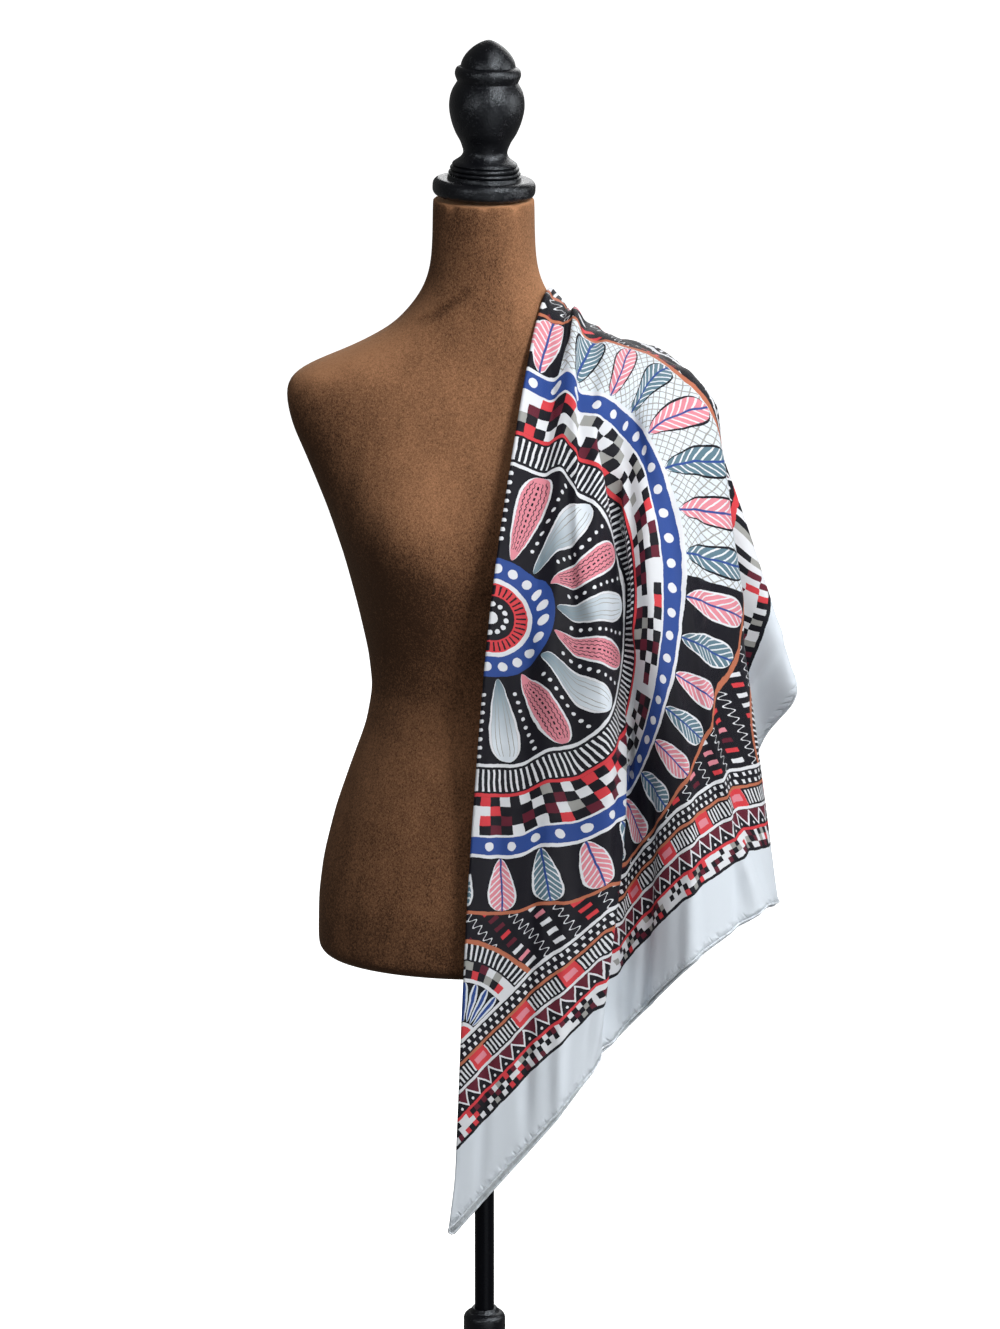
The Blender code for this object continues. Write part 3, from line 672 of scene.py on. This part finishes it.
def creased(grid):
    """The layer with its creases pushed out and in along its normals."""
    along, aside = grid[..., 3], abs(grid[..., 4])
    height = np.zeros(along.shape)
    for _, *sizes in CREASES:
        start, end, bow, half_widths, heights = (np.multiply(size, MILLIMETRE) for size in sizes)
        run = end - start
        length = np.linalg.norm(run)
        ahead, across = run / length, np.array([-run[1], run[0]]) / length
        share = ((along - start[0]) * ahead[0] + (aside - start[1]) * ahead[1]) / length
        off = (along - start[0]) * across[0] + (aside - start[1]) * across[1]
        off -= bow * 4.0 * share * (1.0 - share)
        fade = np.clip(5.0 * np.minimum(share, 1.0 - share), 0.0, 1.0)
        fade *= fade * (3.0 - 2.0 * fade)
        share = np.clip(share, 0.0, 1.0)
        near = (off / (half_widths[0] + (half_widths[1] - half_widths[0]) * share)) ** 2
        rise = heights[0] + (heights[1] - heights[0]) * share
        height += fade * rise * (1.0 - 0.7 * near) * np.exp(-near)
    grid[..., :3] += outward(grid[..., :3]) * height[..., None]
    return grid


TURN_STEPS = 6
outer = creased(refine(outer, 5, 6))
under = creased(refine(under, 2, 6))
lift_points(outer, FORM_CLEAR + LAYER_STEP / 2, 2)
lift_points(under, FORM_CLEAR * 0.7, 2)
inward = under[0, :, :3] - outer[0, :, :3]
away = outer[0, :, :3] - outer[1, :, :3]
away -= inward * (np.sum(away * inward, axis=1) / np.sum(inward * inward, axis=1))[:, None]
away = unit(away) * np.linalg.norm(inward, axis=1, keepdims=True) / 2
turn = np.repeat(outer[:1], TURN_STEPS - 1, axis=0)
for step in range(1, TURN_STEPS):
    angle = math.pi * step / TURN_STEPS
    turn[-step, :, :3] += away * math.sin(angle) + inward * (1 - math.cos(angle)) / 2
cloth = np.concatenate([under[::-1], turn, outer], axis=0)

# Colours of the print. Acid dyes on a plain pale square: near-black and ice, with coral, pink, royal
# blue, slate and burgundy. A round medallion lies inside a mitred frame, with a rosette in each corner.
BORDER_WIDTH = 0.057
DYES = {
    "ice": (0.68, 0.74, 0.80),
    "chalk": (0.72, 0.74, 0.775),
    "night": (0.0040, 0.0038, 0.0088),
    "coral": (0.640, 0.046, 0.058),
    "pink": (0.700, 0.245, 0.300),
    "royal": (0.024, 0.066, 0.275),
    "slate": (0.105, 0.190, 0.240),
    "burgundy": (0.115, 0.011, 0.026),
    "tan": (0.470, 0.150, 0.080),
    "ash": (0.330, 0.335, 0.320),
}
HAND_SLIP = 0.0022
COLUMN_WIDTH = 0.019
FRAME_WIDTH = 0.0835
PETALS = 16.0
PETAL_RUN = (0.0610, 0.1480)
LEAVES = 38.0
LEAF_RUN = (0.2490, 0.3030)
MEDALLION_RINGS = (
    # ring, inner radius, outer radius, dye of its ground
    ("eye", 0.0000, 0.0060, "chalk"),
    ("eye_ground", 0.0060, 0.0220, "night"),
    ("spoked", 0.0220, 0.0340, "coral"),
    ("eye_line", 0.0340, 0.0385, "chalk"),
    ("beaded", 0.0385, 0.0590, "royal"),
    ("petal_ground", 0.0590, 0.1500, "night"),
    ("petal_line", 0.1500, 0.1535, "chalk"),
    ("combed", 0.1535, 0.1810, "night"),
    ("comb_line", 0.1810, 0.1845, "coral"),
    ("checked", 0.1845, 0.2245, "night"),
    ("check_line", 0.2245, 0.2270, "chalk"),
    ("outer_beaded", 0.2270, 0.2450, "royal"),
    ("bead_line", 0.2450, 0.2485, "chalk"),
    ("leaf_ground", 0.2485, 0.3035, "ice"),
    ("leaf_line", 0.3035, 0.3070, "tan"),
)
FRAME_BANDS = (
    # band, inner edge and outer edge from the plain border, dye of its ground
    ("edge_line", 0.0000, 0.0030, "night"),
    ("small_checks", 0.0030, 0.0210, "night"),
    ("coral_line", 0.0210, 0.0240, "coral"),
    ("zigzag", 0.0240, 0.0420, "night"),
    ("chalk_line", 0.0420, 0.0450, "chalk"),
    ("ladder", 0.0450, 0.0630, "night"),
    ("tan_line", 0.0630, 0.0660, "tan"),
    ("dotted", 0.0660, 0.0800, "night"),
    ("inner_line", 0.0800, 0.0835, "chalk"),
)
CHECK_DYES = (("night", 0.0), ("chalk", 0.36), ("ash", 0.66), ("burgundy", 0.78), ("coral", 0.91))

square_print, given, result = effect(
    "square_print", {"Cut": "NodeSocketVector"}, {"Colour": "NodeSocketColor"})


def waver(tree, vector, scale, reach):
    """A coordinate moved about a little, as a hand-drawn line is."""
    drift = add(tree, "ShaderNodeTexNoise", {"Vector": vector, "Scale": scale, "Detail": 1.0})
    drift = add(tree, "ShaderNodeVectorMath", {0: drift.outputs["Color"], 1: (0.5, 0.5, 0.5)},
                operation="SUBTRACT")
    drift = add(tree, "ShaderNodeVectorMath", {0: drift.outputs[0], "Scale": reach}, operation="SCALE")
    return add(tree, "ShaderNodeVectorMath", {0: vector, 1: drift.outputs[0]}, operation="ADD").outputs[0]


def chance(across, along):
    """A number from 0 to 1 for each cell."""
    cell = add(across.tree, "ShaderNodeCombineXYZ", {"X": across.floor(), "Y": along.floor()})
    cell = add(across.tree, "ShaderNodeTexWhiteNoise", {"Vector": cell.outputs[0]}, noise_dimensions="2D")
    return Reading(across.tree, cell.outputs["Value"])


def pick(value, dyes):
    """One of several dyes, by a number from 0 to 1."""
    ramp = add(value.tree, "ShaderNodeValToRGB", {"Fac": value})
    ramp.color_ramp.interpolation = "CONSTANT"
    while len(ramp.color_ramp.elements) < len(dyes):
        ramp.color_ramp.elements.new(1.0)
    for element, (dye, start) in zip(ramp.color_ramp.elements, dyes):
        element.position = start
        element.color = (*DYES[dye], 1.0)
    return ramp.outputs["Color"]


def in_cell(count):
    """Where a reading of cells is in its cell, from -0.5 to 0.5."""
    return count.fract() - 0.5


def parity(count):
    """0 and 1 by turns, from cell to cell."""
    return (count.floor() * 0.5).fract() * 2.0


def dye(colour, mask):
    """Lays one more dye on the print, or several that a socket picks, where the mask is."""
    colour = DYES[colour] if isinstance(colour, str) else colour
    coats.append(mix(square_print, coats[-1], colour, mask))


def dye_checks(across, along, mask):
    """Lays checks in a few dyes on the print, by counts of their cells."""
    cells = chance(across, along) * 0.62 + parity(across.floor() + along.floor()) * 0.36
    dye(pick(cells, CHECK_DYES), mask)


def dot_row(count, pitch, off, radius):
    """A row of round dots, one in each cell of the count, at no distance off the row's line."""
    across = in_cell(count) * pitch
    return (across * across + off * off) < radius * radius


def petals(turn, radius, number, start, end, half_width, fullness):
    """How far off its petal's middle a point lies, the petal's half width there, and how far along."""
    along = (radius - start) * (1.0 / (end - start)) & 0.999 | 0.001
    width = (along ** fullness) * ((1.0 - along ** 6.0) ** 0.5) * half_width
    return abs(in_cell(turn * number)) * radius * (2 * math.pi / number), width, along


def on_cut(tree, cut):
    """Both coordinates on the cut, the way to the nearest edge and along it, and which pair of sides."""
    first, second, _ = (Reading(tree, port) for port in separate(tree, cut))
    first_edge, second_edge = first & (SIDE - first), second & (SIDE - second)
    turned_side = first_edge < second_edge
    return first, second, first_edge & second_edge, first + (second - first) * turned_side, turned_side


coats = [DYES["night"]]
cut = waver(square_print, given.outputs["Cut"], 70.0, HAND_SLIP)
cut = waver(square_print, cut, 420.0, HAND_SLIP * 0.3)
first, second, edge, beside, turned_side = on_cut(square_print, cut)
inside = edge - BORDER_WIDTH

# Ground of the field: wavering stitches in columns, and bars between them
x = first - SIDE / 2
y = second - SIDE / 2
column_count = x * (1 / COLUMN_WIDTH)
bar_count = y * (1 / 0.0105)
off = in_cell(column_count) * COLUMN_WIDTH
wave = abs(off - (y * (2 * math.pi / 0.0085)).sine() * 0.0042) < 0.0009
bars = (bar_count.fract() < 0.42) & (abs(off) < 0.0062)
odd = parity(column_count)
dye("chalk", wave & ~odd)
bar_dye = pick(chance(column_count, bar_count),
               (("coral", 0.0), ("chalk", 0.35), ("burgundy", 0.62), ("pink", 0.8)))
dye(bar_dye, bars & odd)

# Frame, mitred at the corners
for _, start, end, ground in FRAME_BANDS:
    dye(ground, inside.between(start, end))
check_row = (inside - 0.0030) * (1 / 0.0060) + turned_side * 40.0
dye_checks(beside * (1 / 0.0060), check_row, inside.between(0.0030, 0.0210))
tooth = abs(in_cell(beside * (1 / 0.018))) * 0.028 - 0.007 + 0.033
zigzag = inside.between(0.0245, 0.0415)
dye("burgundy", (tooth < inside) & zigzag)
dye("chalk", (abs(inside - tooth) < 0.0017) & zigzag)
dye("chalk", dot_row(beside * (1 / 0.018) + 0.5, 0.018, inside - 0.0278, 0.0016))
block = (beside * (1 / 0.066)).fract()
rungs = ((beside * (1 / 0.0048)).fract() < 0.46) & inside.between(0.0468, 0.0612)
dye("chalk", rungs)
dye("coral", (block < 0.34) & inside.between(0.0450, 0.0630))
dye("pink", (abs(block - 0.17) < 0.11) & inside.between(0.0505, 0.0575))
for offset, line in ((0.0, 0.0695), (0.5, 0.0765)):
    square_dot = (abs(in_cell(beside * (1 / 0.0085) + offset)) < 0.21) & (abs(inside - line) < 0.0019)
    dye("chalk", square_dot)

# Rosettes in the corners of the field
corner_x, corner_y = (SIDE / 2 - BORDER_WIDTH - FRAME_WIDTH - abs(axis) for axis in (x, y))
in_field = (corner_x & corner_y) > 0.0
radius = (corner_x * corner_x + corner_y * corner_y) ** 0.5
angle = corner_y.arc_tangent_to(corner_x) * (1 / (2 * math.pi))
for start, end, ground in ((0.0, 0.104, "night"), (0.0, 0.014, "coral"), (0.014, 0.017, "chalk"),
                           (0.060, 0.063, "chalk"), (0.100, 0.104, "tan")):
    dye(ground, radius.between(start - 0.001, end) & in_field)
across, width, along = petals(angle, radius, 28.0, 0.018, 0.059, 0.0052, 0.5)
petal = (across < width) & radius.between(0.018, 0.059) & in_field
dye("ice", petal)
dye("royal", (across < width * 0.42) & petal)
dye_checks(angle * 56.0, (radius - 0.063) * (1 / 0.0090), radius.between(0.063, 0.081) & in_field)
rays = (abs(in_cell(angle * 100.0)) < 0.2) & radius.between(0.083, 0.099)
dye("chalk", rays & in_field)

# Medallion in the middle
radius = (x * x + y * y) ** 0.5
angle = y.arc_tangent_to(x) * (1 / (2 * math.pi)) + 0.5
for _, start, end, ground in MEDALLION_RINGS:
    dye(ground, radius.between(start - 0.0001, end))
dye("night", (abs(in_cell(angle * 36.0)) < 0.17) & radius.between(0.0235, 0.0325))
for dots, middle, size in ((12, 0.0140, 0.0024), (20, 0.0487, 0.0046), (62, 0.2360, 0.0046)):
    dye("chalk", dot_row(angle * float(dots), 2 * math.pi * middle / dots, radius - middle, size))
rays = (abs(in_cell(angle * 180.0)) < 0.19) & radius.between(0.1560, 0.1790)
dye("chalk", rays)
dye_checks(angle * 116.0, (radius - 0.1845) * (1 / 0.0100), radius.between(0.1845, 0.2245))

# Long petals, ice and pink by turns, with veins that run together at the foot
across, width, along = petals(angle, radius, PETALS, *PETAL_RUN, 0.0205, 0.62)
petal = (across < width) & radius.between(*PETAL_RUN)
even = parity(angle * PETALS)
dye(mix(square_print, DYES["slate"], DYES["ice"], along * 1.3 & 1.0), petal)
dye("pink", petal & even)
share = across / width
vein = share * 3.4
veins = ((vein + 0.2).fract() < 0.16) & petal
dye("ash", veins & ~even & (along < 0.93))
dashes = ((vein + 0.2).fract() < 0.42) & ((along * 15.0 + vein.floor() * 0.5).fract() < 0.55)
dye("night", dashes & petal & even & along.between(0.12, 0.94))
dye("chalk", (share > 0.84) & petal)
gap = in_cell(angle * PETALS + 0.5) * radius * (2 * math.pi / PETALS)
gap_dots = (gap * gap + (in_cell(radius * (1 / 0.0092)) * 0.0092) ** 2.0) < 0.0019**2
dye("chalk", gap_dots & radius.between(0.0760, 0.1480) & ~petal)

# Leaves round the outside, slate and pink by turns, with a rib and slanting veins. Their ground is pale
# with a fine net towards one corner of the square, and dark on the other side.
pale = abs(((angle * LEAVES).floor() + 0.5) * (1 / LEAVES) - 0.625).between(0.03, 0.20)
dye("night", radius.between(0.2485, 0.3035) & ~pale)
net = ((angle * 190.0 + radius * 130.0).fract() < 0.17) | ((angle * 190.0 - radius * 130.0).fract() < 0.17)
dye("ash", net & radius.between(*LEAF_RUN) & pale)
across, width, along = petals(angle, radius, LEAVES, *LEAF_RUN, 0.0205, 0.55)
leaf = (across < width) & radius.between(*LEAF_RUN)
odd = parity(angle * LEAVES)
dye("slate", leaf)
dye("pink", leaf & odd)
slant = (radius - across * 0.9) * (1 / 0.0062)
dye("chalk", (slant.fract() < 0.27) & leaf & (across > 0.0012) & (across < width * 0.86))
dye("royal", (across < 0.0010) & leaf)
rim = leaf & (across > width * 0.86)
dye("night", rim & pale)
dye("chalk", rim & ~pale)

# Plain border all round
dye("ice", inside < 0.0)
square_print.links.new(coats[-1], result.inputs["Colour"])

# Weave of the silk: twill lines on the bias, and the puckers and dimples that the hem's stitches draw in
TWILL_PITCH = 0.0006
PUCKER_REACH = 0.016
STITCH_PITCH = 0.0105
silk_twill, given, result = effect("silk_twill", {"Cut": "NodeSocketVector"}, {"Height": "NodeSocketFloat"})
first, second, edge, beside, turned_side = on_cut(silk_twill, given.outputs["Cut"])
count = beside * (1 / STITCH_PITCH) + noise(silk_twill, given.outputs["Cut"], 60.0, 0.0) * 0.9
off = in_cell(count) * STITCH_PITCH
dimple = (1.0 - off * off * (1 / 0.0019 ** 2) | 0.0) * (1.0 - abs(edge - 0.0045) * (1 / 0.0042) | 0.0)
dimple = dimple * (chance(count, turned_side * 7.0 + 0.5) * 0.8 + 0.2)
near_hem = (1.0 - edge * (1 / PUCKER_REACH) | 0.0) ** 1.5
puckers = (noise(silk_twill, given.outputs["Cut"], 105.0, 0.0) - 0.5) * near_hem
twill = ((first + second) * (2 * math.pi / TWILL_PITCH)).sine() * 0.012
silk_twill.links.new((puckers + twill - dimple * 0.26).socket, result.inputs["Height"])


def printed_silk(name, fading, **values):
    """Silk twill with the print on it, as strong as on the right side or fainter on the reverse."""
    material, tree, shader = surface(name, **values)
    cut_map = add(tree, "ShaderNodeUVMap", uv_map="cut").outputs["UV"]
    printed = add(tree, "ShaderNodeGroup", node_tree=square_print)
    woven = add(tree, "ShaderNodeGroup", node_tree=silk_twill)
    for group in (printed, woven):
        tree.links.new(cut_map, group.inputs["Cut"])
    colour = mix(tree, printed.outputs["Colour"], DYES["ash"], fading)
    tree.links.new(colour, shader.inputs["Base Color"])
    raise_surface(tree, shader, woven.outputs["Height"], 0.004)
    return material


silk = printed_silk("printed_silk", 0.0, Roughness=0.46, Specular_IOR_Level=0.22, Sheen_Weight=0.02)
silk_reverse = printed_silk(
    "printed_silk_reverse", 0.35, Roughness=0.55, Specular_IOR_Level=0.22, Sheen_Weight=0.03)

columns, rows = cloth.shape[:2]
faces = []
for i in range(columns - 1):
    for j in range(rows - 1):
        start = i * rows + j
        faces.append((start, start + rows, start + rows + 1, start + 1))
mesh = bpy.data.meshes.new("scarf")
mesh.from_pydata(cloth[..., :3].reshape(-1, 3).tolist(), [], faces)
mesh.shade_smooth()
cut = mesh.uv_layers.new(name="cut")
corner_points = np.empty(len(mesh.loops), dtype=np.int32)
mesh.loops.foreach_get("vertex_index", corner_points)
along, aside = cloth[..., 3].reshape(-1), cloth[..., 4].reshape(-1)
on_square = np.stack([along + aside, along - aside], axis=1) / math.sqrt(2)
cut.uv.foreach_set("vector", on_square[corner_points].astype(np.float32).reshape(-1))
mesh.materials.append(silk)
mesh.materials.append(silk_reverse)
scarf = placed("scarf", mesh)
wall = scarf.modifiers.new("cloth", "SOLIDIFY")
wall.thickness = CLOTH
wall.offset = 0.0
wall.material_offset = 1
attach(scarf, "root")
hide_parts("scarf_outer_half", "scarf_under_half")

# Hem of the scarf. The raw edge is rolled thin by hand and sewn down with pale silk thread: a narrow bead
# all round the square, drawn in a little at each stitch.
HEM_RADIUS = 0.0012
HEM_STEP = 0.0035
STITCH_REACH = 0.0034
THREAD_RADIUS = 0.00016
THREAD_SLANT = 0.0014
THREAD_RISE = 0.0004


def strand(name, material):
    """An empty round cord of curves that rides with the part. Each of its points has its own radius."""
    curve = bpy.data.curves.new(name, "CURVE")
    curve.dimensions = "3D"
    curve.bevel_depth = 1.0
    curve.bevel_resolution = 2
    curve.materials.append(material)
    piece = placed(name, curve)
    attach(piece, "root")
    return piece


def lay(curve, points, radii, closed=False):
    """Lays one more stretch of a cord through the points."""
    spline = curve.splines.new("POLY")
    spline.points.add(len(points) - 1)
    spline.points.foreach_set("co", np.hstack([points, np.ones((len(points), 1))]).reshape(-1))
    spline.points.foreach_set("radius", radii)
    spline.use_cyclic_u = closed
    spline.use_smooth = True


hem_silk, tree, shader = surface("rolled_hem_silk", Roughness=0.50, Specular_IOR_Level=0.28)
place = add(tree, "ShaderNodeTexCoord").outputs["Object"]
tinge = noise(tree, place, 240.0, 2.0)
tree.links.new(mix(tree, DYES["ash"], DYES["ice"], (tinge * 1.6 & 1.0)), shader.inputs["Base Color"])
thread_silk, tree, shader = surface(
    "sewing_thread", Roughness=0.45, Specular_IOR_Level=0.35, Base_Color=(0.40, 0.42, 0.43, 1.0))

points = cloth[..., :3]
edge = np.concatenate([points[0, :-1], points[:-1, -1], points[-1, :0:-1], points[:0:-1, 0]])
inside = np.concatenate([points[1, :-1], points[:-1, -2], points[-2, :0:-1], points[:0:-1, 1]])
lengths = lengths_along(np.vstack([edge, edge[:1]]))
hem_length = lengths[-1]


def along_hem(values, distances):
    """Values at the cloth's edge, read at distances round it."""
    ring = np.vstack([values, values[:1]])
    return np.stack([np.interp(distances, lengths, ring[:, k]) for k in range(3)], axis=1)


marks = np.arange(0.0, hem_length, HEM_STEP)
drawn = 1.0 - 0.16 * np.exp(-((marks % STITCH_PITCH - STITCH_PITCH / 2) / 0.0018) ** 2)
drawn *= 1.0 + 0.07 * np.sin(marks * 171.0) + 0.05 * np.sin(marks * 397.0)
hem = strand("rolled_hem", hem_silk)
lay(hem.data, along_hem(edge, marks), drawn * HEM_RADIUS, closed=True)

stitches = strand("hem_stitches", thread_silk)
ways_in = unit(inside - edge)
for number in range(int(hem_length / STITCH_PITCH)):
    slip = 0.0016 * math.sin(number * 2.3) + 0.0009 * math.sin(number * 5.1)
    middle = (number + 0.5) * STITCH_PITCH + slip
    at, ahead = along_hem(edge, [middle, middle + 0.002])
    inward = along_hem(ways_in, [middle])[0]
    ahead = unit(ahead - at)
    inward = unit(inward - ahead * (inward @ ahead))
    over = np.cross(ahead, inward)
    for side in (1.0, -1.0):
        reach = STITCH_REACH * (0.85 + 0.2 * math.sin(number * 3.7 + side))
        bow = []
        for share in (-0.30, 0.0, 0.3, 0.6, 0.98):
            rise = HEM_RADIUS * 1.04 * math.sqrt(max(1.0 - (share * 1.02) ** 2, 0.0)) + THREAD_RISE
            lean = inward * (reach * share) + ahead * (THREAD_SLANT * (share - 0.3))
            bow.append(lean + over * side * rise)
        lay(stitches.data, at + np.array(bow), [THREAD_RADIUS] * len(bow))

# Floor, daylight and the camera, which stands in front of the form a little above its waist.
TARGET = Vector((0.016, 0.0, 0.987))
DISTANCE = 5.5
ELEVATION = math.radians(14.5)
LENS = 148.98
FLOOR_SIZE = 60.0
WHITE = (1.0, 1.0, 1.0, 1.0)

bm = bmesh.new()
bmesh.ops.create_grid(bm, x_segments=1, y_segments=1, size=FLOOR_SIZE / 2)
paper, tree, shader = surface(
    "white_paper", Roughness=0.9, Specular_IOR_Level=0.1, Base_Color=(0.86, 0.86, 0.86, 1.0),
    Emission_Color=WHITE, Emission_Strength=0.75,
)
mesh = bpy.data.meshes.new("floor")
bm.to_mesh(mesh)
bm.free()
mesh.materials.append(paper)
floor = placed("floor", mesh)
floor.location.z = -0.0005
floor.visible_diffuse = False
floor.visible_glossy = False


def lamp(name, place, size, power, aim=(0.03, 0.0, 1.0)):
    """A square soft light that faces the form."""
    light = bpy.data.lights.new(name, "AREA")
    light.shape = "SQUARE"
    light.size = size
    light.energy = power
    stand = placed(name, light)
    stand.location = place
    stand.rotation_euler = (Vector(aim) - Vector(place)).to_track_quat("-Z", "Y").to_euler()


sun_light = bpy.data.lights.new("window", "SUN")
sun_light.energy = 1.4
sun_light.angle = math.radians(14)
sun = placed("window", sun_light)
sun.rotation_euler = Vector((-0.74, 0.46, -1.15)).to_track_quat("-Z", "Y").to_euler()
lamp("key", (1.5, -2.2, 2.9), 0.7, 58.0)
lamp("right_window", (2.9, -0.2, 1.8), 1.6, 38.0)
lamp("side_fill", (-2.4, -4.0, 2.6), 1.8, 44.0)
lamp("floor_bounce", (1.3, -3.0, 0.25), 2.4, 18.0, aim=(0.1, 0.0, 0.9))
lamp("back_fill", (0.8, 3.6, 2.6), 2.4, 40.0)

# The walls are as white as the floor, but give the form less light than they show
world = bpy.data.worlds.new("white_room")
world.use_nodes = True
tree = world.node_tree
seen = tree.nodes["Background"]
seen.inputs["Color"].default_value = WHITE
shed = add(tree, "ShaderNodeBackground", {"Color": WHITE, "Strength": 0.12})
from_camera = add(tree, "ShaderNodeLightPath").outputs["Is Camera Ray"]
either = add(tree, "ShaderNodeMixShader", {0: from_camera, 1: shed.outputs[0], 2: seen.outputs[0]})
tree.links.new(either.outputs[0], tree.nodes["World Output"].inputs["Surface"])
bpy.context.scene.world = world
bpy.context.scene.view_settings.view_transform = "Standard"

camera_data = bpy.data.cameras.new("camera")
camera_data.sensor_fit = "VERTICAL"
camera_data.sensor_height = 36.0
camera_data.lens = LENS
camera_data.clip_end = 100.0
camera = placed("camera", camera_data)
camera.location = TARGET + DISTANCE * Vector((0.0, -math.cos(ELEVATION), math.sin(ELEVATION)))
camera.rotation_euler = (TARGET - camera.location).to_track_quat("-Z", "Y").to_euler()
bpy.context.scene.camera = camera

bpy.context.view_layer.update()
